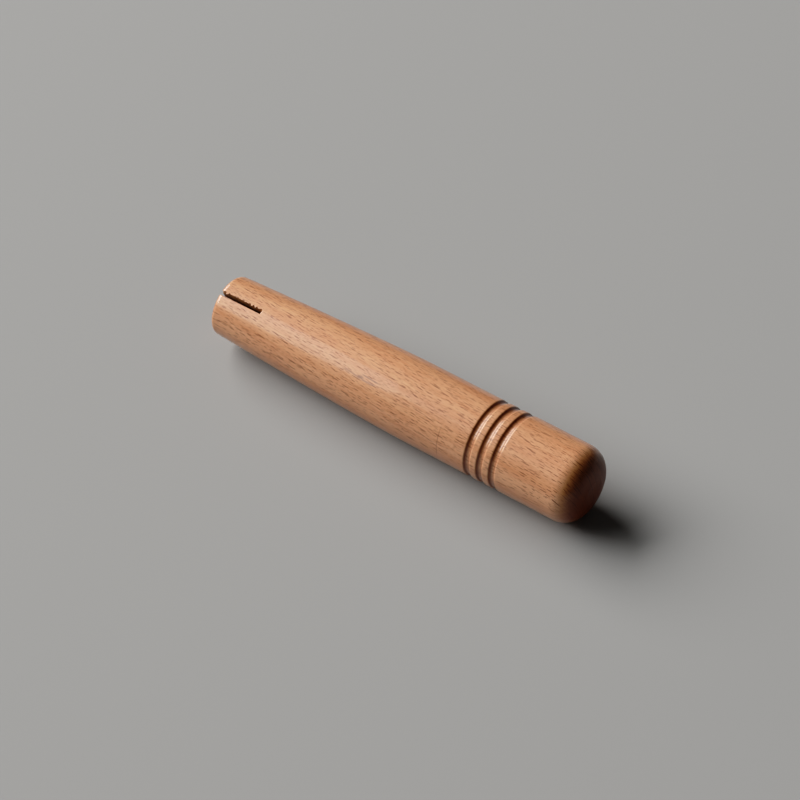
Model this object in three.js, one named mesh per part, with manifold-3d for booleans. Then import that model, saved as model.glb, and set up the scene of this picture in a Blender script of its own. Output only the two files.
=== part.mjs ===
// Turned beech muddler, lying on its side.
// Millimetres, +Z up. The axis runs along X with the rounded working head at +X
// and the slotted grip end at -X. The origin is under the middle of the bounding
// box, on the surface it lies on, so the straight barrel touches z = 0 and the
// tapered grip end hangs a few millimetres clear.
//
// The object is one piece of wood turned between centres: the grip, the three
// ring grooves and the head are all cut in the same blank, and the slot is one
// saw kerf across the grip end. So there is a single solid.
import * as THREE from 'three';
import { mergeVertices } from 'three/addons/utils/BufferGeometryUtils.js';
import Module from 'manifold-3d';

// ---- driving dimensions (mm) ------------------------------------------------
const LENGTH = 200;              // overall, grip end to working face
const BARREL_RADIUS = 18.2;      // straight barrel and head
const TAPER_LENGTH = 104;        // grip end to where the barrel becomes straight
const TAPER_DEPTH = 0.212;       // share of the radius lost at the grip end
const TAPER_POWER = 1.288;       // swell of the taper: 1 is a cone, more is a belly

const GRIP_EDGE_RADIUS = 1.6;    // rounded rim of the grip end
const GRIP_DOME_RISE = 1.5;      // how far the grip end face bulges before the rim's round-over
const GRIP_FLAT_RADIUS = 4;      // middle of the grip end face, flat

const HEAD_EDGE_RADIUS = 10.6;   // large round-over of the working end
const HEAD_DOME_RADIUS = 40;     // gentle crown between round-over and flat
const HEAD_FLAT_RADIUS = 6;      // small true flat in the middle of the working face

const GROOVE_CENTRES = [145.95, 152.5, 159.05]; // from the grip end
const GROOVE_FLANK = 50;         // steepest flank, degrees from the barrel surface
const GROOVE_BOTTOM_RADIUS = 1.7;
const GROOVE_SHOULDER_RADIUS = 1.2;

const SLOT_WIDTH = 2.0;          // saw kerf, right through on a diameter
const SLOT_DEPTH = 25.4;         // from the grip end
const SLOT_TILT = 25.9;          // kerf plane's lean from vertical toward -Y, degrees

const SIDES = 48;                // facets round the axis, one of them flat on z = 0

// ---- turned profile: [radius, distance from the grip end] --------------------
const rad = (deg) => (deg * Math.PI) / 180;

function barrelRadius(x) {
  const u = Math.max(0, (TAPER_LENGTH - x) / TAPER_LENGTH);
  return BARREL_RADIUS * (1 - TAPER_DEPTH * Math.pow(u, TAPER_POWER));
}

// A shallow dome that runs smoothly into the rounded rim: `start` is the angle
// on the rim's arc where both have the same slope.
function gripEnd() {
  const rimRadius = barrelRadius(GRIP_DOME_RISE) - GRIP_EDGE_RADIUS;
  let start = 0.33;
  let rise = 0;
  let edge = 0;
  for (let i = 0; i < 30; i++) {
    rise = GRIP_DOME_RISE + GRIP_EDGE_RADIUS * (1 - Math.cos(start));
    edge = rimRadius + GRIP_EDGE_RADIUS * Math.sin(start);
    start = Math.atan((2 * rise) / (edge - GRIP_FLAT_RADIUS));
  }
  const points = [[0, 0]];
  for (const k of [0, 0.4, 0.75]) {
    points.push([GRIP_FLAT_RADIUS + (edge - GRIP_FLAT_RADIUS) * k, rise * k * k]);
  }
  for (let i = 0; i <= 5; i++) {
    const a = start + (i / 5) * (Math.PI / 2 - start);
    points.push([
      rimRadius + GRIP_EDGE_RADIUS * Math.sin(a),
      GRIP_DOME_RISE + GRIP_EDGE_RADIUS * (1 - Math.cos(a)),
    ]);
  }
  return points;
}

function taper() {
  return [7, 13, 20, 28, 37, 47, 58, 70, 82, 92, 99, TAPER_LENGTH, 125]
    .map((x) => [barrelRadius(x), x]);
}

// A groove is a cove whose flanks roll over into rounded shoulders.
function groove(centre) {
  const t = rad(GROOVE_FLANK);
  const halfWidth = (GROOVE_BOTTOM_RADIUS + GROOVE_SHOULDER_RADIUS) * Math.sin(t);
  const depth = (GROOVE_BOTTOM_RADIUS + GROOVE_SHOULDER_RADIUS) * (1 - Math.cos(t));
  const half = [];
  for (let i = 0; i <= 2; i++) {
    const a = (i / 2) * t;
    half.push([
      BARREL_RADIUS - GROOVE_SHOULDER_RADIUS * (1 - Math.cos(a)),
      halfWidth - GROOVE_SHOULDER_RADIUS * Math.sin(a),
    ]);
  }
  for (let i = 2; i >= 0; i--) {
    const a = (i / 3) * t;
    half.push([
      BARREL_RADIUS - depth + GROOVE_BOTTOM_RADIUS * (1 - Math.cos(a)),
      GROOVE_BOTTOM_RADIUS * Math.sin(a),
    ]);
  }
  const left = half.map(([r, x]) => [r, centre - x]);
  const right = half.slice(0, -1).reverse().map(([r, x]) => [r, centre + x]);
  return [...left, ...right];
}

// Round-over tangent to the barrel and to the crown, then the flat. The crown's
// arc is cut off where it reaches the flat, which sits at LENGTH.
function head() {
  const flatSagitta = HEAD_DOME_RADIUS
    - Math.sqrt(HEAD_DOME_RADIUS ** 2 - HEAD_FLAT_RADIUS ** 2);
  const crownCentre = LENGTH + flatSagitta - HEAD_DOME_RADIUS;
  const offset = BARREL_RADIUS - HEAD_EDGE_RADIUS;
  const reach = Math.sqrt((HEAD_DOME_RADIUS - HEAD_EDGE_RADIUS) ** 2 - offset ** 2);
  const tangent = Math.atan2(offset, reach);
  const points = [];
  for (let i = 0; i <= 9; i++) {
    const a = Math.PI / 2 - (i / 9) * (Math.PI / 2 - tangent);
    points.push([
      offset + HEAD_EDGE_RADIUS * Math.sin(a),
      crownCentre + reach + HEAD_EDGE_RADIUS * Math.cos(a),
    ]);
  }
  const crownStart = Math.asin(HEAD_FLAT_RADIUS / HEAD_DOME_RADIUS);
  for (let i = 1; i <= 2; i++) {
    const a = tangent + (i / 2) * (crownStart - tangent);
    points.push([HEAD_DOME_RADIUS * Math.sin(a), crownCentre + HEAD_DOME_RADIUS * Math.cos(a)]);
  }
  points.push([0, LENGTH]);
  return points;
}

const profile = [
  ...gripEnd(),
  ...taper(),
  ...GROOVE_CENTRES.flatMap(groove),
  [BARREL_RADIUS, 175],
  ...head(),
].map(([r, x]) => new THREE.Vector2(r, x));

// ---- turning and sawing ------------------------------------------------------
const wasm = await Module();
wasm.setup();

function toManifold(geometry) {
  const g = geometry.index ? geometry.clone() : geometry;
  g.deleteAttribute('normal');
  g.deleteAttribute('uv');
  const merged = mergeVertices(g, 1e-4);
  return new wasm.Manifold(new wasm.Mesh({
    numProp: 3,
    vertProperties: new Float32Array(merged.attributes.position.array),
    triVerts: new Uint32Array(merged.index.array),
  }));
}

function toGeometry(manifold) {
  const mesh = manifold.getMesh();
  const geometry = new THREE.BufferGeometry();
  geometry.setAttribute('position', new THREE.BufferAttribute(mesh.vertProperties, 3));
  geometry.setIndex(new THREE.BufferAttribute(mesh.triVerts, 1));
  geometry.computeVertexNormals();
  return geometry;
}

// Turned about the lathe's own Y, then laid down with the head at +X. The half
// facet of phase puts one facet flat underneath.
const turned = new THREE.LatheGeometry(profile, SIDES, Math.PI / SIDES, Math.PI * 2);
turned.rotateZ(-Math.PI / 2);
turned.translate(-LENGTH / 2, 0, 0);

const OVERCUT = 4;
const kerf = new THREE.BoxGeometry(SLOT_DEPTH + OVERCUT, SLOT_WIDTH, BARREL_RADIUS * 3);
kerf.translate(-LENGTH / 2 + (SLOT_DEPTH - OVERCUT) / 2, 0, 0);
kerf.rotateX(rad(SLOT_TILT));

const bodyGeometry = toGeometry(toManifold(turned).subtract(toManifold(kerf)));

const beech = new THREE.MeshStandardMaterial({
  name: 'oiled_beech',
  color: new THREE.Color(0.79, 0.55, 0.38),
  roughness: 0.42,
  metalness: 0,
});

const body = new THREE.Mesh(bodyGeometry, beech);
body.name = 'turned_body';
body.position.set(0, 0, BARREL_RADIUS * Math.cos(Math.PI / SIDES));

const muddler = new THREE.Group();
muddler.name = 'muddler';
muddler.add(body);
muddler.updateMatrixWorld(true);

export default muddler;
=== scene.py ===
import bpy, bmesh, math
import numpy as np
from mathutils import Vector, Matrix, noise


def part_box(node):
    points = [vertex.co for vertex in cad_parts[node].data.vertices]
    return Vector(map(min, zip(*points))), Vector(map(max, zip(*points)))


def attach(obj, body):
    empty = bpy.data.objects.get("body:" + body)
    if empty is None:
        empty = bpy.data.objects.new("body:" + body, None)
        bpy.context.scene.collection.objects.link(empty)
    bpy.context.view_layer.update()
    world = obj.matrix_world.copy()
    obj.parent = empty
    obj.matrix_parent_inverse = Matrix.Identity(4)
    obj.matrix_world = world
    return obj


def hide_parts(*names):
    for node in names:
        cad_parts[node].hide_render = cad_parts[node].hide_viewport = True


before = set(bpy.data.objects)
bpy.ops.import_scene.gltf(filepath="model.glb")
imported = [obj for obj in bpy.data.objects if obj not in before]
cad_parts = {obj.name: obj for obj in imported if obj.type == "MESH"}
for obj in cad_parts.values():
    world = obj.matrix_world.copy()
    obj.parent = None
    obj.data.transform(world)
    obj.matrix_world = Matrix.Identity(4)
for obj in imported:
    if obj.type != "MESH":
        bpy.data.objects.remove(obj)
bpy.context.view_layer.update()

# =====================================================================
# The turned body. Lengths in millimetres here, metres in the mesh.
# =====================================================================
lo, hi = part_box("turned_body")
LENGTH = (hi.x - lo.x) * 1000
RADIUS = (hi.z - lo.z) * 500            # the barrel touches the floor
AXIS_Z = (hi.z + lo.z) * 500
X_GRIP = lo.x * 1000                    # x of the slotted end

TAPER_LENGTH, TAPER_DEPTH, TAPER_POWER = 104.0, 0.212, 1.288
GRIP_EDGE, GRIP_FLAT = 1.6, 4.0
HEAD_EDGE, HEAD_CROWN, HEAD_FLAT = 10.6, 40.0, 6.0
GROOVES = (145.95, 152.5, 159.05)
FLANK, COVE_R, SHOULDER_R = math.radians(50), 1.7, 1.2
SLOT_W, SLOT_DEPTH, SLOT_LEAN = 2.0, 25.4, 25.9
EDGE = 0.13                             # softened arris of the slot's mouth

psi0 = math.radians(90 + SLOT_LEAN)     # slot's mouth, from +Y toward +Z
E_C = np.array([math.cos(psi0), math.sin(psi0)])                       # chord, out of the upper mouth
E_Z = np.array([math.cos(psi0 - math.pi / 2), math.sin(psi0 - math.pi / 2)])  # across the slot


def barrel(x):
    u = max(0.0, (TAPER_LENGTH - x) / TAPER_LENGTH)
    return RADIUS * (1 - TAPER_DEPTH * u ** TAPER_POWER)


def slope(x):
    return (barrel(x + 0.05) - barrel(x - 0.05)) / 0.1


def profile():
    """[(x, r, nx, nr)] from the middle of the grip end to the middle of the head."""
    half = SLOT_W / 2 + EDGE
    rim = barrel(1.5) - GRIP_EDGE
    a0 = 0.33
    for _ in range(30):
        x1, r1 = 1.5 + GRIP_EDGE * (1 - math.cos(a0)), rim + GRIP_EDGE * math.sin(a0)
        a0 = math.atan(2 * x1 / (r1 - GRIP_FLAT))
    rows = []
    for r in (half, 1.25, 1.45, 1.8, 2.3, 3.0, 3.6, 4.0):
        rows.append((0.0, r, -1.0, 0.0))
    for i in range(1, 12):
        k = i / 12
        r = GRIP_FLAT + (r1 - GRIP_FLAT) * k
        t = math.atan(2 * x1 * k / (r1 - GRIP_FLAT))
        rows.append((x1 * k * k, r, -math.cos(t), math.sin(t)))
    xc = 1.5 + GRIP_EDGE
    a_end = math.pi / 2 - math.atan(slope(xc))
    for i in range(0, 13):
        a = a0 + (a_end - a0) * i / 12
        rows.append((xc - GRIP_EDGE * math.cos(a), rim + GRIP_EDGE * math.sin(a), -math.cos(a), math.sin(a)))
    n_end = len(rows)                    # last row of the rounded rim
    xs = rows[-1][0]
    # rows fine along the slot, its last one just past the slot's inner end
    n = 96
    for i in range(1, n + 1):
        x = xs + (SLOT_DEPTH + EDGE - xs) * i / n
        s = slope(x)
        rows.append((x, barrel(x), -s, 1.0))
    p_slot = len(rows) - 1
    x = rows[-1][0]
    step = 0.3
    while True:
        x += step
        step = min(1.5, step * 1.18)
        if x > 141.5:
            break
        rows.append((x, barrel(x), -slope(x), 1.0))
    rows.append((142.5, RADIUS, 0.0, 1.0))
    hw = (COVE_R + SHOULDER_R) * math.sin(FLANK)
    depth = (COVE_R + SHOULDER_R) * (1 - math.cos(FLANK))
    for gi, c in enumerate(GROOVES):
        half_rows = []
        for i in range(0, 8):
            a = FLANK * i / 7
            half_rows.append((hw - SHOULDER_R * math.sin(a), RADIUS - SHOULDER_R * (1 - math.cos(a))))
        for i in range(8, -1, -1):
            a = FLANK * i / 9
            half_rows.append((COVE_R * math.sin(a), RADIUS - depth + COVE_R * (1 - math.cos(a))))
        left = [(c - dx, r) for dx, r in half_rows]
        right = [(c + dx, r) for dx, r in half_rows[:-1]][::-1]
        for x, r in left + right:
            rows.append((x, r, 0.0, 1.0))
        if gi < 2:
            a, b = c + hw, GROOVES[gi + 1] - hw
            for k in (0.2, 0.4, 0.6, 0.8):
                rows.append((a + (b - a) * k, RADIUS, 0.0, 1.0))
    sag = HEAD_CROWN - math.sqrt(HEAD_CROWN ** 2 - HEAD_FLAT ** 2)
    cc = LENGTH + sag - HEAD_CROWN
    off = RADIUS - HEAD_EDGE
    reach = math.sqrt((HEAD_CROWN - HEAD_EDGE) ** 2 - off ** 2)
    tan = math.atan2(off, reach)
    x, x_round = GROOVES[-1] + hw, cc + reach
    k = 0.35
    while x + k < x_round - 0.6:
        x += k
        k = min(1.4, k * 1.3)
        rows.append((x, RADIUS, 0.0, 1.0))
    for i in range(0, 29):
        a = math.pi / 2 - (i / 28) * (math.pi / 2 - tan)
        rows.append((cc + reach + HEAD_EDGE * math.cos(a), off + HEAD_EDGE * math.sin(a), math.cos(a), math.sin(a)))
    a_flat = math.asin(HEAD_FLAT / HEAD_CROWN)
    for i in range(1, 7):
        a = tan + (i / 6) * (a_flat - tan)
        rows.append((cc + HEAD_CROWN * math.cos(a), HEAD_CROWN * math.sin(a), math.sin(a), math.cos(a)))
    for r in (5.2, 4.2, 3.0, 1.8, 0.8, 0.0):
        rows.append((LENGTH, r, 1.0, 0.0))
    return rows, n_end - 1, p_slot


ROWS, P_RIM, P_SLOT = profile()

# Torn fibres along the slot's upper arris: (middle x, half length, depth across), mm.
# A negative depth is a splinter standing into the slot.
CHIPS = [(1.6, 0.8, 0.12), (3.9, 0.8, 0.30), (5.15, 0.75, -0.80), (6.3, 0.5, 0.32), (7.9, 0.7, 0.12), (9.6, 0.55, 0.26),
         (11.2, 0.5, 0.42), (12.3, 0.5, 0.20), (14.4, 0.7, 0.22), (16.1, 0.4, 0.12),
         (18.2, 0.75, 0.42), (19.35, 0.42, -0.48), (20.35, 0.55, 0.50), (21.3, 0.40, -0.40), (22.2, 0.5, 0.42),
         (23.3, 0.5, -0.16), (24.7, 0.7, 0.40)]
CHIPS_B = [(4.6, 0.5, 0.22), (8.8, 1.1, 0.34), (13.3, 0.6, 0.28), (16.1, 0.4, 0.42), (19.2, 0.9, 0.5), (22.8, 0.6, 0.36)]


def torn(x, chips, fine, seed):
    j = 0.0
    for c, h, d in chips:
        u = abs(x - c) / h
        if u < 1:
            j += d * (1 - u ** 2.4)
    j += fine * (noise.noise(Vector((x * 2.3, seed, 0.0))) + 0.25)
    j += fine * 0.7 * (noise.noise(Vector((x * 5.1, seed + 7.0, 0.0))) + 0.1)
    return j


def mouth(x, side, top):
    """How far the arris is torn back, mm. side +1 is the upper or back tongue."""
    if x > SLOT_DEPTH - 0.15:
        return 0.0
    if top and side > 0:
        return torn(x, CHIPS, 0.16, 3.0)
    if top:                                   # crisp, a little worn at the open end
        return torn(x, [], 0.03, 11.0) + 0.30 * max(0.0, 1 - x / 5.0) ** 1.5
    return torn(x, CHIPS_B if side < 0 else CHIPS_B[1::2], 0.12, 19.0 + side)


# columns of a tongue's outer arc: share of the arc, close together by the slot
near = [0.0, 0.0028, 0.0065, 0.0115, 0.018, 0.027, 0.039, 0.053]
N_MID = 84
COLS = near + [0.053 + (1 - 0.106) * i / N_MID for i in range(1, N_MID)] + [1 - v for v in reversed(near)]
N_ACROSS = 5


def arc_point(row, share, side):
    """A point of a tongue's outer surface."""
    x, r, _, _ = row
    half = SLOT_W / 2 + EDGE
    if r <= 1e-9:
        return (x, 0.0, 0.0)
    d = math.asin(min(1.0, half / r)) if x < LENGTH - 30 else half / RADIUS * 1.0
    a = d + (math.pi - 2 * d) * share
    # torn arris: the columns near the slot move back with it
    top_gap = (r * a - r * d) if share < 0.5 else 1e9
    bot_gap = (r * (math.pi - d) - r * a) if share >= 0.5 else 1e9
    gap, top = (top_gap, True) if top_gap < bot_gap else (bot_gap, False)
    if x < SLOT_DEPTH and r > 8 and gap < 1.6:
        j = mouth(x, side, top) * (1 - gap / 1.6) ** 1.2
        a += (j / r) * (1 if top else -1)
    c, z = r * math.cos(a), r * math.sin(a) * side
    return (x, c, z)


verts, faces, kinds = [], [], []


def V(x, c, z):
    y = c * E_C[0] + z * E_Z[0]
    h = c * E_C[1] + z * E_Z[1]
    verts.append(((X_GRIP + x) / 1000, y / 1000, (AXIS_Z + h) / 1000))
    return len(verts) - 1


def quad(a, b, c, d, kind=0):
    faces.append((a, b, c, d))
    kinds.append(kind)


def strip(A, B, flip=False, kind=0):
    for i in range(len(A) - 1):
        q = (A[i], A[i + 1], B[i + 1], B[i])
        quad(*(q[::-1] if flip else q), kind)


P = len(ROWS)
NC = len(COLS)
surf = {}
for side in (1, -1):
    grid = [[V(*arc_point(row, s, side)) for s in COLS] for row in ROWS]
    surf[side] = grid
    for p in range(P - 1):
        strip(grid[p], grid[p + 1], flip=(side < 0))

# the strips of surface between the tongues, beyond the slot
half_e = SLOT_W / 2 + EDGE
across = {}
for top in (True, False):
    grid = {}
    for p in range(P_SLOT, P):
        x, r, _, _ = ROWS[p]
        lower, upper = (surf[-1][p], surf[1][p])
        a_id = lower[0] if top else lower[-1]
        b_id = upper[0] if top else upper[-1]
        d = (math.asin(min(1.0, half_e / r)) if x < LENGTH - 30 else half_e / RADIUS) if r > 1e-9 else 0.0
        row = [a_id]
        for k in range(1, N_ACROSS):
            a = -d + 2 * d * k / N_ACROSS
            c, z = r * math.cos(a), r * math.sin(a)
            row.append(V(x, c if top else -c, z))
        row.append(b_id)
        grid[p] = row
    across[top] = grid
    for p in range(P_SLOT, P - 1):
        strip(grid[p], grid[p + 1], flip=(not top))

# walls of the slot: one sheet per tongue, from the end face to the inner end
K = P_RIM
N_INT = 7


def inset(p):
    """The profile moved in by the arris, as (x, chord) on the slot's wall."""
    x, r, nx, nr = ROWS[p]
    n = math.hypot(nx, nr)
    x, r = x - EDGE * nx / n, r - EDGE * nr / n
    c = math.sqrt(max(0.0, r * r - (SLOT_W / 2) ** 2))
    if p == 0:
        c = 0.0
    return x, c


def saw(x, c, side):
    """Saw marks and stray fibres on the wall, mm, into the wood."""
    v = 0.035 * math.sin(x * 5.6 + 0.22 * c + side) * (0.5 + 0.5 * noise.noise(Vector((x * 0.4, c * 0.1, side * 4.0))))
    v += 0.05 * noise.noise(Vector((x * 1.3, c * 0.55, side * 9.0)))
    v += 0.03 * noise.noise(Vector((x * 4.0, c * 2.2, side * 5.0)))
    return v


wall = {}
for side in (1, -1):
    base = [inset(p) for p in range(K + 1)]           # k = 0..K
    xs = base[K][0]
    rows = []
    for i in range(N_INT + 1):
        t = i / N_INT
        rows.append([(x + (xs - x) * t, c) for x, c in base])
    for p in range(K + 1, P_SLOT + 1):
        x, c_out = inset(p)
        if p == P_SLOT:
            x = SLOT_DEPTH
        rows.append([(x, c * c_out / base[K][1]) for _, c in base])
    ids = []
    for i, row in enumerate(rows):
        line = []
        for k in list(range(K, 0, -1)) + [0] + list(range(1, K + 1)):
            x, c = row[k]
            pos = len(line)                            # 0..2K, low mouth first
            sgn = -1 if pos < K else 1
            c_out = row[K][1]
            gap = c_out - c
            if i <= N_INT:                             # near the end face: nearest of face and mouth
                gap = min(x - base[k][0], c_out - c)
                x_at, ramp_in = base[k][0], min(1.0, max(0.0, (c - 8.0) / 1.5))
            else:
                x_at, ramp_in = x, 1.0
            j = 0.0
            if gap < 1.1:
                j = mouth(x_at, side, sgn > 0) * (1 - gap / 1.1) ** 1.4 * ramp_in
            edge_free = min(1.0, gap / 0.6)
            if i >= len(rows) - 2:
                edge_free = 0.0
            z = SLOT_W / 2 + j + edge_free * saw(x, sgn * c, side)
            line.append(V(x, sgn * c, z * side))
        ids.append(line)
    wall[side] = ids
    for i in range(len(ids) - 1):
        strip(ids[i], ids[i + 1], flip=(side > 0), kind=1)

# inner end of the slot
end_rows = []
c_out = inset(P_SLOT)[1]
shares = []
base = [inset(p)[1] for p in range(K + 1)]
for k in range(K, 0, -1):
    shares.append(-base[k] / base[K])
shares.append(0.0)
for k in range(1, K + 1):
    shares.append(base[k] / base[K])
r_in = math.hypot(c_out, SLOT_W / 2)
for n in range(N_ACROSS + 1):
    z = -SLOT_W / 2 + SLOT_W * n / N_ACROSS
    if n == 0:
        end_rows.append(wall[-1][-1])
    elif n == N_ACROSS:
        end_rows.append(wall[1][-1])
    else:
        c_max = math.sqrt(r_in ** 2 - z * z)
        end_rows.append([V(SLOT_DEPTH + (0.05 * noise.noise(Vector((s * 9, z * 2, 1.7))) if abs(s) < 0.97 else 0.0), s * c_max, z) for s in shares])
for n in range(N_ACROSS):
    strip(end_rows[n], end_rows[n + 1], flip=True, kind=1)


# arris of the mouth: surface edge, middle, wall edge
def path(side, top):
    s_ids = [surf[side][p][0 if top else -1] for p in range(P_SLOT + 1)]
    w = wall[side]
    centre = K
    w_ids = []
    for p in range(P_SLOT + 1):
        if p <= K:
            w_ids.append(w[0][centre + p] if top else w[0][centre - p])
        else:
            w_ids.append(w[N_INT + p - K][-1 if top else 0])
    return s_ids, w_ids


def middles(s_ids, w_ids, corner_of):
    out = []
    for a, b in zip(s_ids, w_ids):
        A, B = np.array(verts[a]), np.array(verts[b])
        C = np.array(corner_of(a, b, A, B))
        M = (A + B) / 2 + (C - (A + B) / 2) * 0.42
        verts.append(tuple(M))
        out.append(len(verts) - 1)
    return out


def sharp_corner(a, b, A, B):
    """Where the surface and the wall would meet, from the two edges of the arris."""
    yz = np.array([A[1], A[2] - AXIS_Z / 1000]) * 1000
    wz = np.array([B[1], B[2] - AXIS_Z / 1000]) * 1000
    z_w = float(wz @ E_Z)
    r = float(np.hypot(*yz))
    c_sign = 1 if float(yz @ E_C) >= 0 else -1
    c = c_sign * math.sqrt(max(0.0, r * r - z_w * z_w))
    if abs(float(yz @ E_C)) < 1e-6:
        c = 0.0
    p = E_C * c + E_Z * z_w
    return (A[0], p[0] / 1000, p[1] / 1000 + AXIS_Z / 1000)


for side in (1, -1):
    for top in (True, False):
        s_ids, w_ids = path(side, top)
        m_ids = middles(s_ids, w_ids, sharp_corner)
        f = (side > 0) == top
        strip(s_ids, m_ids, flip=f)
        strip(m_ids, w_ids, flip=f)
        across[top][("corner", side)] = (s_ids[-1], m_ids[-1], w_ids[-1])
for top in (True, False):
    s_ids = across[top][P_SLOT]
    w_ids = [row[-1 if top else 0] for row in end_rows]
    m_ids = [across[top][("corner", -1)][1]]
    for n in range(1, N_ACROSS):
        A, B = np.array(verts[s_ids[n]]), np.array(verts[w_ids[n]])
        C = np.array((B[0], A[1], A[2]))
        M = (A + B) / 2 + (C - (A + B) / 2) * 0.42
        verts.append(tuple(M))
        m_ids.append(len(verts) - 1)
    m_ids.append(across[top][("corner", 1)][1])
    strip(s_ids, m_ids, flip=top)
    strip(m_ids, w_ids, flip=top)

mesh = bpy.data.meshes.new("muddler_body")
bm = bmesh.new()
bv = [bm.verts.new(v) for v in verts]
bm.verts.ensure_lookup_table()
for f in faces:
    f = [bv[i] for i in f]
    if len(set(f)) >= 3:
        seen = []
        for v in f:
            if v not in seen:
                seen.append(v)
        try:
            bm.faces.new(seen)
        except ValueError:
            pass
bmesh.ops.remove_doubles(bm, verts=bm.verts, dist=2e-7)
bmesh.ops.dissolve_degenerate(bm, dist=1e-8, edges=bm.edges)
bmesh.ops.recalc_face_normals(bm, faces=bm.faces)
loose = [v for v in bm.verts if not v.link_faces]
bmesh.ops.delete(bm, geom=loose, context="VERTS")

# a long shallow dent by the grain
for v in bm.verts:
    x = v.co.x * 1000 - X_GRIP
    y, z = v.co.y * 1000, v.co.z * 1000 - AXIS_Z
    r = math.hypot(y, z)
    if r < 1e-6 or r < RADIUS * 0.7:
        continue
    a = math.degrees(math.atan2(z, y))
    d = 0.0
    arc = (a - 133.8) * math.pi / 180 * r
    u = ((x - 89) / 7.0) ** 2 + (arc / 1.1) ** 2
    if u < 1:
        d -= 0.07 * (1 - u) ** 1.5
    if d:
        v.co.y += d * y / r / 1000
        v.co.z += d * z / r / 1000
for f in bm.faces:
    f.smooth = True
bm.to_mesh(mesh)
bm.free()
body = bpy.data.objects.new("muddler_body", mesh)
bpy.context.scene.collection.objects.link(body)


# =====================================================================
# Material: clear-finished beech, laid out in space so that the grain runs
# through the grooves, the round-over and both ends.
# =====================================================================
class Nodes:
    def __init__(self, mat):
        self.nt = mat.node_tree
        self.nt.nodes.clear()

    def new(self, kind, **props):
        n = self.nt.nodes.new(kind)
        for k, v in props.items():
            setattr(n, k, v)
        return n

    def put(self, socket, value):
        if isinstance(value, bpy.types.NodeSocket):
            self.nt.links.new(value, socket)
        else:
            socket.default_value = value

    def math(self, op, a, b=None, c=None, clamp=False):
        n = self.new("ShaderNodeMath", operation=op, use_clamp=clamp)
        for i, v in enumerate((a, b, c)):
            if v is not None:
                self.put(n.inputs[i], v)
        return n.outputs[0]

    def vmath(self, op, a, b=None, scale=None):
        n = self.new("ShaderNodeVectorMath", operation=op)
        self.put(n.inputs[0], a)
        if b is not None:
            self.put(n.inputs[1], b)
        if scale is not None:
            self.put(n.inputs["Scale"], scale)
        return n.outputs["Value"] if op in ("LENGTH", "DOT_PRODUCT", "DISTANCE") else n.outputs[0]

    def ramp(self, v, a, b, lo=0.0, hi=1.0, smooth=True):
        n = self.new("ShaderNodeMapRange", interpolation_type="SMOOTHSTEP" if smooth else "LINEAR", clamp=True)
        for i, s in enumerate((v, a, b, lo, hi)):
            self.put(n.inputs[i], s)
        return n.outputs[0]

    def combine(self, x, y, z):
        n = self.new("ShaderNodeCombineXYZ")
        for i, v in enumerate((x, y, z)):
            self.put(n.inputs[i], v)
        return n.outputs[0]

    def noise(self, vec, scale=1.0, detail=2.0, rough=0.5, dist=0.0):
        n = self.new("ShaderNodeTexNoise", noise_dimensions="3D")
        self.put(n.inputs["Vector"], vec)
        n.inputs["Scale"].default_value = scale
        n.inputs["Detail"].default_value = detail
        n.inputs["Roughness"].default_value = rough
        n.inputs["Distortion"].default_value = dist
        return n.outputs["Fac"]

    def mix(self, f, a, b, blend="MIX"):
        n = self.new("ShaderNodeMix", data_type="RGBA", blend_type=blend, clamp_factor=True)
        self.put(n.inputs[0], f)
        self.put(n.inputs[6], a)
        self.put(n.inputs[7], b)
        return n.outputs[2]


def rgb(r, g, b):
    return (r, g, b, 1.0)


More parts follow.
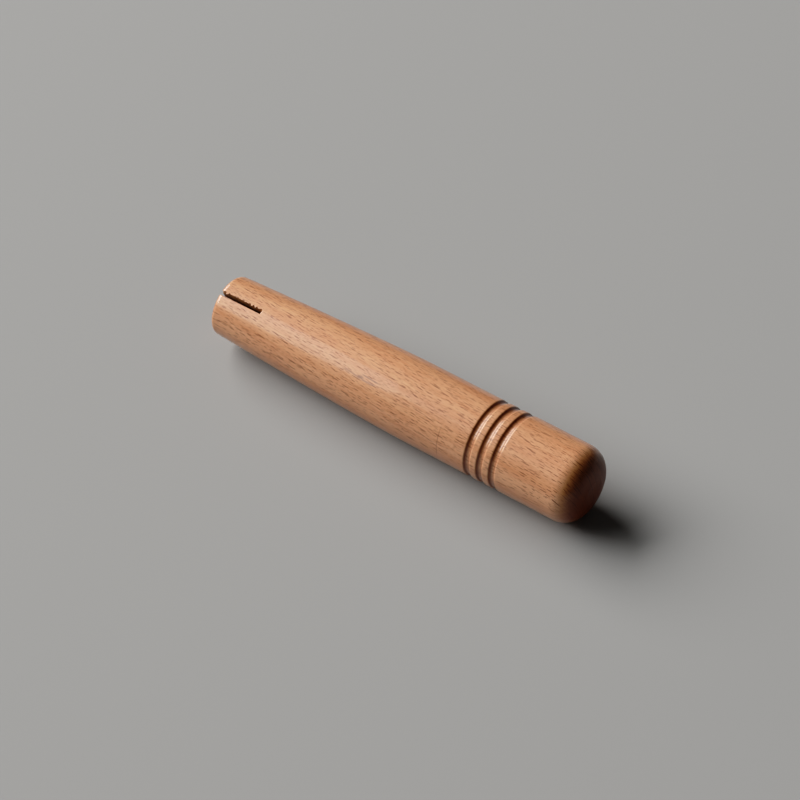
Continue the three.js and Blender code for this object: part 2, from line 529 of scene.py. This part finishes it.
def beech():
    mat = bpy.data.materials.new("beech_clear_finish")
    mat.use_nodes = True
    N = Nodes(mat)
    out = N.new("ShaderNodeOutputMaterial")
    bsdf = N.new("ShaderNodeBsdfPrincipled")
    N.nt.links.new(bsdf.outputs[0], out.inputs[0])
    tc = N.new("ShaderNodeTexCoord")
    # millimetres from the middle of the turning axis
    p = N.vmath("SCALE", tc.outputs["Object"], scale=1000.0)
    p = N.vmath("SUBTRACT", p, (0.0, 0.0, AXIS_Z))
    sep = N.new("ShaderNodeSeparateXYZ"); N.put(sep.inputs[0], p)
    px, py, pz = sep.outputs
    rho = N.math("SQRT", N.math("ADD", N.math("MULTIPLY", py, py), N.math("MULTIPLY", pz, pz)))
    # the grain runs about four degrees off the turning axis
    rot = N.new("ShaderNodeVectorRotate", rotation_type="AXIS_ANGLE")
    N.put(rot.inputs["Vector"], p)
    rot.inputs["Axis"].default_value = (0.0, math.cos(math.radians(128)), math.sin(math.radians(128)))
    rot.inputs["Angle"].default_value = math.radians(3.8)
    # wander of the fibres
    wob_v = N.vmath("MULTIPLY", rot.outputs[0], (1 / 38.0, 1 / 14.0, 1 / 14.0))
    wn = N.new("ShaderNodeTexNoise", noise_dimensions="3D")
    N.put(wn.inputs["Vector"], wob_v); wn.inputs["Scale"].default_value = 1.0; wn.inputs["Detail"].default_value = 2.0
    wob = N.vmath("MULTIPLY", N.vmath("SUBTRACT", wn.outputs["Color"], (0.5, 0.5, 0.5)), (0.0, 2.6, 2.6))
    q = N.vmath("ADD", rot.outputs[0], wob)
    sq = N.new("ShaderNodeSeparateXYZ"); N.put(sq.inputs[0], q)
    qx, qy, qz = sq.outputs
    # the tree's middle lies well below the blank: ring radius and arc round it
    pith = math.radians(112)
    PD = 62.0
    cy, cz = -PD * math.cos(pith), -PD * math.sin(pith)
    dy, dz = N.math("SUBTRACT", qy, cy), N.math("SUBTRACT", qz, cz)
    ring = N.math("SQRT", N.math("ADD", N.math("MULTIPLY", dy, dy), N.math("MULTIPLY", dz, dz)))
    # arc measured from the blank's direction, so that the angle's cut lies behind
    along = N.math("ADD", N.math("MULTIPLY", dy, math.cos(pith)), N.math("MULTIPLY", dz, math.sin(pith)))
    acrs = N.math("SUBTRACT", N.math("MULTIPLY", dz, math.cos(pith)), N.math("MULTIPLY", dy, math.sin(pith)))
    arc = N.math("MULTIPLY", N.math("ARCTAN2", acrs, along), PD)

    # ---- ray flecks: thin radial sheets, cut across on this face, broad on the sides
    def flecks(lx, lv, lw, hx, hv, hw, keep, seed):
        vec = N.combine(N.math("DIVIDE", qx, lx), N.math("ADD", N.math("DIVIDE", arc, lv), seed), N.math("DIVIDE", ring, lw))
        vo = N.new("ShaderNodeTexVoronoi", voronoi_dimensions="3D", feature="F1", distance="EUCLIDEAN")
        N.put(vo.inputs["Vector"], vec)
        vo.inputs["Scale"].default_value = 1.0
        vo.inputs["Randomness"].default_value = 1.0
        off = N.vmath("SUBTRACT", vec, vo.outputs["Position"])
        off = N.vmath("MULTIPLY", off, (lx / hx, lv / hv, lw / hw))
        dist = N.vmath("LENGTH", off)
        sc = N.new("ShaderNodeSeparateXYZ"); N.put(sc.inputs[0], vo.outputs["Color"])
        soft = N.ramp(dist, 0.84, 1.08, 1.0, 0.0)
        strength = N.ramp(sc.outputs[0], 1 - keep, 1.0, 0.40, 1.0, smooth=False)
        on = N.math("GREATER_THAN", sc.outputs[0], 1 - keep)
        return N.math("MULTIPLY", soft, N.math("MULTIPLY", strength, on))

    nrm = N.new("ShaderNodeSeparateXYZ"); N.put(nrm.inputs[0], tc.outputs["Normal"])
    facing = N.math("ADD", N.math("MULTIPLY", nrm.outputs[1], dy), N.math("MULTIPLY", nrm.outputs[2], dz))
    facing = N.math("DIVIDE", N.math("ABSOLUTE", facing), ring)
    flat = N.ramp(facing, 0.20, 0.72)                 # 1 on a tangential face
    f1 = flecks(3.4, 1.04, 18.0, 1.45, 0.112, 12.0, 0.74, 0.0)
    f2 = flecks(2.2, 0.66, 9.0, 0.88, 0.084, 6.0, 0.60, 31.7)
    f3 = flecks(6.2, 2.2, 22.0, 2.5, 0.132, 14.0, 0.70, 77.1)

    # ---- colour
    band = N.noise(N.combine(N.math("DIVIDE", qx, 95.0), N.math("ADD", N.math("DIVIDE", arc, 4.2), 12.7), N.math("DIVIDE", ring, 5.5)), 1.0, 3.0, 0.55)
    mott = N.noise(N.combine(N.math("DIVIDE", qx, 11.0), N.math("DIVIDE", arc, 3.2), N.math("DIVIDE", ring, 4.0)), 1.0, 3.0, 0.6)
    fibre = N.noise(N.combine(N.math("DIVIDE", qx, 3.2), N.math("DIVIDE", arc, 0.22), N.math("DIVIDE", ring, 0.5)), 1.0, 2.0, 0.6)
    pores = N.noise(N.combine(N.math("DIVIDE", qx, 0.9), N.math("DIVIDE", arc, 0.11), N.math("DIVIDE", ring, 0.16)), 1.0, 1.0, 0.5)
    rr = N.math("ADD", N.math("DIVIDE", ring, 3.4), N.math("MULTIPLY", N.noise(N.combine(N.math("DIVIDE", qx, 120.0), N.math("DIVIDE", arc, 26.0), N.math("DIVIDE", ring, 9.0)), 1.0, 1.0, 0.5), 2.2))
    late = N.math("FRACT", rr)
    late = N.math("POWER", late, 3.0)

    streak_a = N.noise(N.combine(N.math("DIVIDE", qx, 26.0), N.math("DIVIDE", arc, 0.85), N.math("DIVIDE", ring, 1.3)), 1.0, 3.0, 0.6)
    streak_b = N.noise(N.combine(N.math("DIVIDE", qx, 9.0), N.math("DIVIDE", arc, 0.38), N.math("DIVIDE", ring, 0.8)), 1.0, 2.0, 0.6)

    light = rgb(0.715, 0.358, 0.184)
    warm = rgb(0.648, 0.288, 0.136)
    col = N.mix(N.ramp(band, 0.36, 0.66), light, warm)
    col = N.mix(N.math("MULTIPLY", late, 0.17), col, rgb(0.50, 0.212, 0.100))
    col = N.mix(N.ramp(mott, 0.42, 0.72, 0.0, 0.45), col, rgb(0.725, 0.365, 0.180))
    col = N.mix(N.ramp(streak_a, 0.46, 0.72, 0.0, 0.30), col, rgb(0.46, 0.162, 0.062))
    col = N.mix(N.ramp(streak_a, 0.46, 0.26, 0.0, 0.36), col, rgb(0.82, 0.44, 0.235))
    col = N.mix(N.ramp(streak_b, 0.48, 0.72, 0.0, 0.26), col, rgb(0.45, 0.138, 0.036))
    col = N.mix(N.ramp(fibre, 0.48, 0.74, 0.0, 0.28), col, rgb(0.40, 0.124, 0.030))
    col = N.mix(N.ramp(pores, 0.58, 0.78, 0.0, 0.30), col, rgb(0.32, 0.090, 0.020))
    dark = rgb(0.142, 0.026, 0.002)
    endf = N.math("MULTIPLY", N.ramp(N.math("ABSOLUTE", nrm.outputs[0]), 0.55, 0.90), 0.55)
    deep_f = N.math("MULTIPLY_ADD", N.math("MAXIMUM", flat, endf), 0.88, 0.12)
    col = N.mix(N.math("MULTIPLY", N.math("MULTIPLY", f2, deep_f), 0.58), col, dark)
    col = N.mix(N.math("MULTIPLY", N.math("MULTIPLY", f1, deep_f), 0.97), col, dark)
    col = N.mix(N.math("MULTIPLY", N.math("MULTIPLY", f3, deep_f), 0.95), col, dark)

    # ---- painted shade, fitted: a little deeper in colour along the two flanks that edge the main view, where the light falls off
    round_ = N.math("MULTIPLY", N.math("ARCTAN2", pz, py), 180 / math.pi)
    side = N.ramp(N.math("ABSOLUTE", nrm.outputs[0]), 0.55, 0.90, 1.0, 0.0)
    for middle, flank_shade_tint in ((40.0, rgb(0.92, 0.85, 0.76)), (213.0, rgb(0.87, 0.79, 0.69))):
        away = N.math("FLOORED_MODULO", N.math("ADD", round_, 180.0 - middle), 360.0)
        away = N.math("ABSOLUTE", N.math("SUBTRACT", away, 180.0))
        col = N.mix(N.math("MULTIPLY", N.ramp(away, 18.0, 44.0, 1.0, 0.0), side), col, flank_shade_tint, "MULTIPLY")

    # ---- end grain takes the finish darker at both ends; the head's end face is darkened much further, for a cause not known
    endg = N.ramp(N.math("ABSOLUTE", nrm.outputs[0]), 0.30, 0.96)
    nx = nrm.outputs[0]
    col = N.mix(N.ramp(nx, 0.15, 0.92), col, rgb(0.25, 0.13, 0.08), "MULTIPLY")      # working end, toned down to the value seen; its cause is not known
    col = N.mix(N.ramp(nx, 0.20, 0.60), col, rgb(0.98, 0.84, 0.54), "MULTIPLY")
    col = N.mix(N.ramp(N.math("MULTIPLY", nx, -1.0), 0.35, 0.98), col, rgb(0.48, 0.375, 0.305), "MULTIPLY")

    # ---- painted shade: the groove hollows are darkened where shade falls in them
    bx = N.math("MULTIPLY", N.ramp(px, 42.0, 43.2), N.ramp(px, 60.6, 61.8, 1.0, 0.0))
    groove_hollow_shade = N.math("MULTIPLY", N.ramp(rho, RADIUS - 0.95, RADIUS - 0.08, 1.0, 0.0), bx)
    col = N.mix(N.math("MULTIPLY", groove_hollow_shade, 0.75), col, rgb(0.62, 0.50, 0.42), "MULTIPLY")

    # ---- sawn slot: unfinished, browner, scorched in patches; painted shade darkens it toward the middle
    ez_y, ez_z = float(E_Z[0]), float(E_Z[1])
    zed = N.math("ADD", N.math("MULTIPLY", py, ez_y), N.math("MULTIPLY", pz, ez_z))
    inz = N.ramp(N.math("ABSOLUTE", zed), SLOT_W / 2 + 0.06, SLOT_W / 2 + 0.16, 1.0, 0.0)
    sx = X_GRIP + SLOT_DEPTH
    inx = N.ramp(px, sx - 0.02, sx + 0.06, 1.0, 0.0)
    taper_u = N.math("DIVIDE", N.math("SUBTRACT", TAPER_LENGTH, N.math("ADD", px, -X_GRIP)), TAPER_LENGTH)
    taper_u = N.math("MAXIMUM", taper_u, 0.0)
    surf_r = N.math("MULTIPLY", N.math("SUBTRACT", 1.0, N.math("MULTIPLY", N.math("POWER", taper_u, TAPER_POWER), TAPER_DEPTH)), RADIUS)
    under = N.ramp(N.math("SUBTRACT", surf_r, rho), 0.10, 0.45)
    cut = N.math("MULTIPLY", N.math("MULTIPLY", inz, inx), under)
    scorch = N.noise(N.vmath("MULTIPLY", p, (0.9, 0.35, 0.35)), 1.0, 3.0, 0.6)
    slot_depth_shade = N.ramp(rho, 8.5, 13.0)
    cutcol = N.mix(N.ramp(scorch, 0.35, 0.7), rgb(0.50, 0.25, 0.098), rgb(0.27, 0.118, 0.042))
    cutcol = N.mix(slot_depth_shade, rgb(0.14, 0.055, 0.019), cutcol)
    # lighter by the arris, where torn fibres show fresh wood, and at the open end as painted light where light enters
    # the slot
    torn_wood_and_painted_light = N.math("MAXIMUM", N.ramp(N.math("SUBTRACT", surf_r, rho), 0.9, 0.35), N.math("MULTIPLY", N.ramp(px, X_GRIP + 3.2, X_GRIP + 0.8), N.ramp(rho, 9.0, 12.0)))
    cutcol = N.mix(N.math("MULTIPLY", torn_wood_and_painted_light, 0.8), cutcol, rgb(0.60, 0.33, 0.16))
    col = N.mix(cut, col, cutcol)

    # ---- handling marks: a grey rub on the barrel, a thin turned-in line
    ang = N.math("ARCTAN2", pz, py)
    angd = N.math("MULTIPLY", ang, 180 / math.pi)

    def stroke(x0, a0, x1, a1, half, strength):
        """A thin scuff from (x0 mm, a0 degrees) to (x1, a1)."""
        t = N.math("SUBTRACT", px, x0 + X_GRIP)
        on_line = N.math("MULTIPLY_ADD", t, (a1 - a0) / (x1 - x0), a0)
        lat = N.math("ABSOLUTE", N.math("MULTIPLY", N.math("SUBTRACT", angd, on_line), 0.31))
        m = N.math("MULTIPLY", N.ramp(lat, half * 0.5, half * 1.5, 1.0, 0.0), N.ramp(t, -1.0, 1.5))
        return N.math("MULTIPLY", N.math("MULTIPLY", m, N.ramp(t, x1 - x0 - 2.5, x1 - x0 + 0.5, 1.0, 0.0)), strength)

    mk = N.combine(N.math("DIVIDE", N.math("SUBTRACT", px, 85.3 + X_GRIP), 2.8), N.math("MULTIPLY", N.math("SUBTRACT", angd, 134.2), 0.31 / 1.15), 0.0)
    rub = N.math("MULTIPLY", N.ramp(N.vmath("LENGTH", mk), 0.10, 1.0, 1.0, 0.0), 0.95)
    for line_ in ((75.8, 132.6, 86.6, 137.2, 0.32, 0.72), (85.5, 129.9, 95.5, 131.7, 0.33, 0.80), (85.8, 136.8, 93.8, 136.7, 0.38, 0.74)):
        rub = N.math("MAXIMUM", rub, stroke(*line_))
    col = N.mix(N.math("MULTIPLY", rub, 0.76), col, rgb(0.235, 0.115, 0.070))
    ln = N.math("ABSOLUTE", N.math("SUBTRACT", px, 130.3 + X_GRIP))
    line = N.ramp(ln, 0.10, 0.30, 1.0, 0.0)
    where = N.math("MULTIPLY", N.ramp(N.math("ABSOLUTE", N.math("SUBTRACT", N.math("FLOORED_MODULO", ang, 2 * math.pi), math.radians(170))), math.radians(14), math.radians(34), 1.0, 0.0), 1.0)
    line = N.math("MULTIPLY", line, where)
    col = N.mix(N.math("MULTIPLY", line, 0.50), col, dark)

    N.put(bsdf.inputs["Base Color"], col)

    # ---- gloss
    rough = N.math("ADD", 0.43, N.math("MULTIPLY", N.math("SUBTRACT", mott, 0.5), 0.10))
    rough = N.math("ADD", rough, N.math("MULTIPLY", f1, 0.10))
    rough = N.math("ADD", rough, N.math("MULTIPLY", endg, 0.10))
    rough = N.math("ADD", rough, N.math("MULTIPLY", cut, 0.40))
    N.put(bsdf.inputs["Roughness"], N.math("MINIMUM", rough, 0.9))
    bsdf.inputs["Specular IOR Level"].default_value = 0.36
    film = N.math("MULTIPLY", N.math("SUBTRACT", 1.0, cut), N.math("SUBTRACT", 1.0, N.math("MULTIPLY", endg, 0.90)))
    pits = N.math("MAXIMUM", N.math("MAXIMUM", f1, f3), N.math("MULTIPLY", f2, 0.6))
    film = N.math("MULTIPLY", film, N.math("SUBTRACT", 1.0, N.math("MULTIPLY", pits, 0.42)))
    N.put(bsdf.inputs["Coat Weight"], N.math("MULTIPLY", film, N.ramp(px, -6.0, 40.0, 0.61, 0.80)))      # fitted: fuller sheen toward the head
    bsdf.inputs["Coat Roughness"].default_value = 0.085
    bsdf.inputs["Coat IOR"].default_value = 1.5

    # ---- relief: open fibres, sunk flecks, saw fuzz
    h = N.math("MULTIPLY", fibre, 0.45)
    h = N.math("ADD", h, N.math("MULTIPLY", pores, 0.35))
    h = N.math("SUBTRACT", h, N.math("MULTIPLY", f1, 0.30))
    h = N.math("SUBTRACT", h, N.math("MULTIPLY", f3, 0.32))
    h = N.math("SUBTRACT", h, N.math("MULTIPLY", line, 0.8))
    fuzz = N.noise(N.vmath("MULTIPLY", p, (2.2, 5.0, 5.0)), 1.0, 4.0, 0.7)
    h = N.math("ADD", h, N.math("MULTIPLY", N.math("MULTIPLY", fuzz, cut), 6.0))
    bump = N.new("ShaderNodeBump")
    bump.inputs["Strength"].default_value = 0.6
    bump.inputs["Distance"].default_value = 0.00003
    N.put(bump.inputs["Height"], h)
    N.nt.links.new(bump.outputs[0], bsdf.inputs["Normal"])
    return mat


mesh.materials.append(beech())
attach(body, "root")
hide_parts("turned_body")

# =====================================================================
# Floor, light, camera
# =====================================================================
fm = bpy.data.meshes.new("floor")
S = 40.0
fm.from_pydata([(-S, -S, 0), (S, -S, 0), (S, S, 0), (-S, S, 0)], [], [(0, 1, 2, 3)])
floor = bpy.data.objects.new("floor", fm)
bpy.context.scene.collection.objects.link(floor)
fmat = bpy.data.materials.new("floor_pale")
fmat.use_nodes = True
fb = fmat.node_tree.nodes["Principled BSDF"]
fb.inputs["Base Color"].default_value = (0.35, 0.35, 0.347, 1)
fb.inputs["Roughness"].default_value = 0.85
fb.inputs["Specular IOR Level"].default_value = 0.0
# far out the floor melts into the backdrop, so that a low view has no hard horizon
BACKDROP = (0.42, 0.42, 0.415, 1)
ft = fmat.node_tree
f_tc = ft.nodes.new("ShaderNodeTexCoord")
f_len = ft.nodes.new("ShaderNodeVectorMath"); f_len.operation = "LENGTH"
f_mr = ft.nodes.new("ShaderNodeMapRange"); f_mr.interpolation_type = "SMOOTHSTEP"
f_mr.inputs["From Min"].default_value, f_mr.inputs["From Max"].default_value = 0.8, 3.6
f_em = ft.nodes.new("ShaderNodeEmission"); f_em.inputs[0].default_value = BACKDROP
f_mx = ft.nodes.new("ShaderNodeMixShader")
ft.links.new(f_tc.outputs["Object"], f_len.inputs[0])
ft.links.new(f_len.outputs["Value"], f_mr.inputs["Value"])
ft.links.new(f_mr.outputs[0], f_mx.inputs[0])
ft.links.new(fb.outputs[0], f_mx.inputs[1])
ft.links.new(f_em.outputs[0], f_mx.inputs[2])
ft.links.new(f_mx.outputs[0], ft.nodes["Material Output"].inputs[0])
fm.materials.append(fmat)

centre = Vector(((lo.x + hi.x) / 2, 0.0, AXIS_Z / 1000))


def lamp(name, gamma, psi, distance, across, along, power, colour=(1, 1, 1)):
    """A soft elliptical light. gamma: lean toward the grip end; psi: turn round the barrel."""
    g, p = math.radians(gamma), math.radians(psi)
    d = Vector((-math.sin(g), math.cos(g) * math.cos(p), math.cos(g) * math.sin(p)))
    ax = Vector((0, -math.sin(p), math.cos(p)))
    ay = d.cross(ax)
    data = bpy.data.lights.new(name, "AREA")
    data.shape = "ELLIPSE"
    data.size, data.size_y = across, along
    data.energy = power
    data.color = colour
    o = bpy.data.objects.new(name, data)
    bpy.context.scene.collection.objects.link(o)
    o.location = centre + d * distance
    o.rotation_mode = "QUATERNION"
    o.rotation_quaternion = Matrix((ax, ay, d)).transposed().to_quaternion()
    return o


lamp("key", 57, 95.5, 8.0, 9.8, 4.8, 1178.0, (1.0, 0.985, 0.965))
lamp("sheen", 41, 125, 8.0, 6.8, 4.8, 206.0, (1.0, 0.99, 0.98))

world = bpy.data.worlds.new("studio")
bpy.context.scene.world = world
world.use_nodes = True
wt = world.node_tree
bg = wt.nodes["Background"]
bg.inputs[0].default_value = (1.0, 0.97, 0.93, 1)
bg.inputs[1].default_value = 0.038
seen = wt.nodes.new("ShaderNodeBackground")      # what the camera sees past the floor's edge
seen.inputs[0].default_value = BACKDROP
seen.inputs[1].default_value = 1.0
wp = wt.nodes.new("ShaderNodeLightPath")
wm = wt.nodes.new("ShaderNodeMixShader")
wt.links.new(wp.outputs["Is Camera Ray"], wm.inputs[0])
wt.links.new(bg.outputs[0], wm.inputs[1])
wt.links.new(seen.outputs[0], wm.inputs[2])
wt.links.new(wm.outputs[0], wt.nodes["World Output"].inputs[0])

# camera: fitted distance, direction and lens
AZ, EL, DIST = math.radians(36.226), math.radians(45.308), 1.2499
c = Vector((math.sin(AZ) * math.cos(EL), -math.cos(AZ) * math.cos(EL), math.sin(EL)))
r = Vector((math.cos(AZ), math.sin(AZ), 0))
u = c.cross(r)
cam_data = bpy.data.cameras.new("camera")
cam_data.sensor_width = 36.0
cam_data.lens = 36.0 * 2829.5 / 800
cam_data.clip_start, cam_data.clip_end = 0.05, 200
cam = bpy.data.objects.new("camera", cam_data)
bpy.context.scene.collection.objects.link(cam)
cam.location = centre + r * -0.001985 + u * -0.002061 + c * DIST
cam.rotation_mode = "QUATERNION"
cam.rotation_quaternion = Matrix((r, u, c)).transposed().to_quaternion()
bpy.context.scene.camera = cam

bpy.context.scene.view_settings.view_transform = "Standard"
bpy.context.scene.view_settings.look = "None"
vs = bpy.context.scene.view_settings
vs.use_curve_mapping = True                      # deeper shadows, as a contrasty print
cv = vs.curve_mapping.curves[3]
for x, y in ((0.008, 0.0040), (0.02, 0.0130), (0.045, 0.0385), (0.09, 0.088), (0.3, 0.3), (0.5, 0.49), (0.65, 0.61), (0.8, 0.71)):
    cv.points.new(x, y)
cv.points[len(cv.points) - 1].location = (1.0, 0.83)
vs.curve_mapping.update()
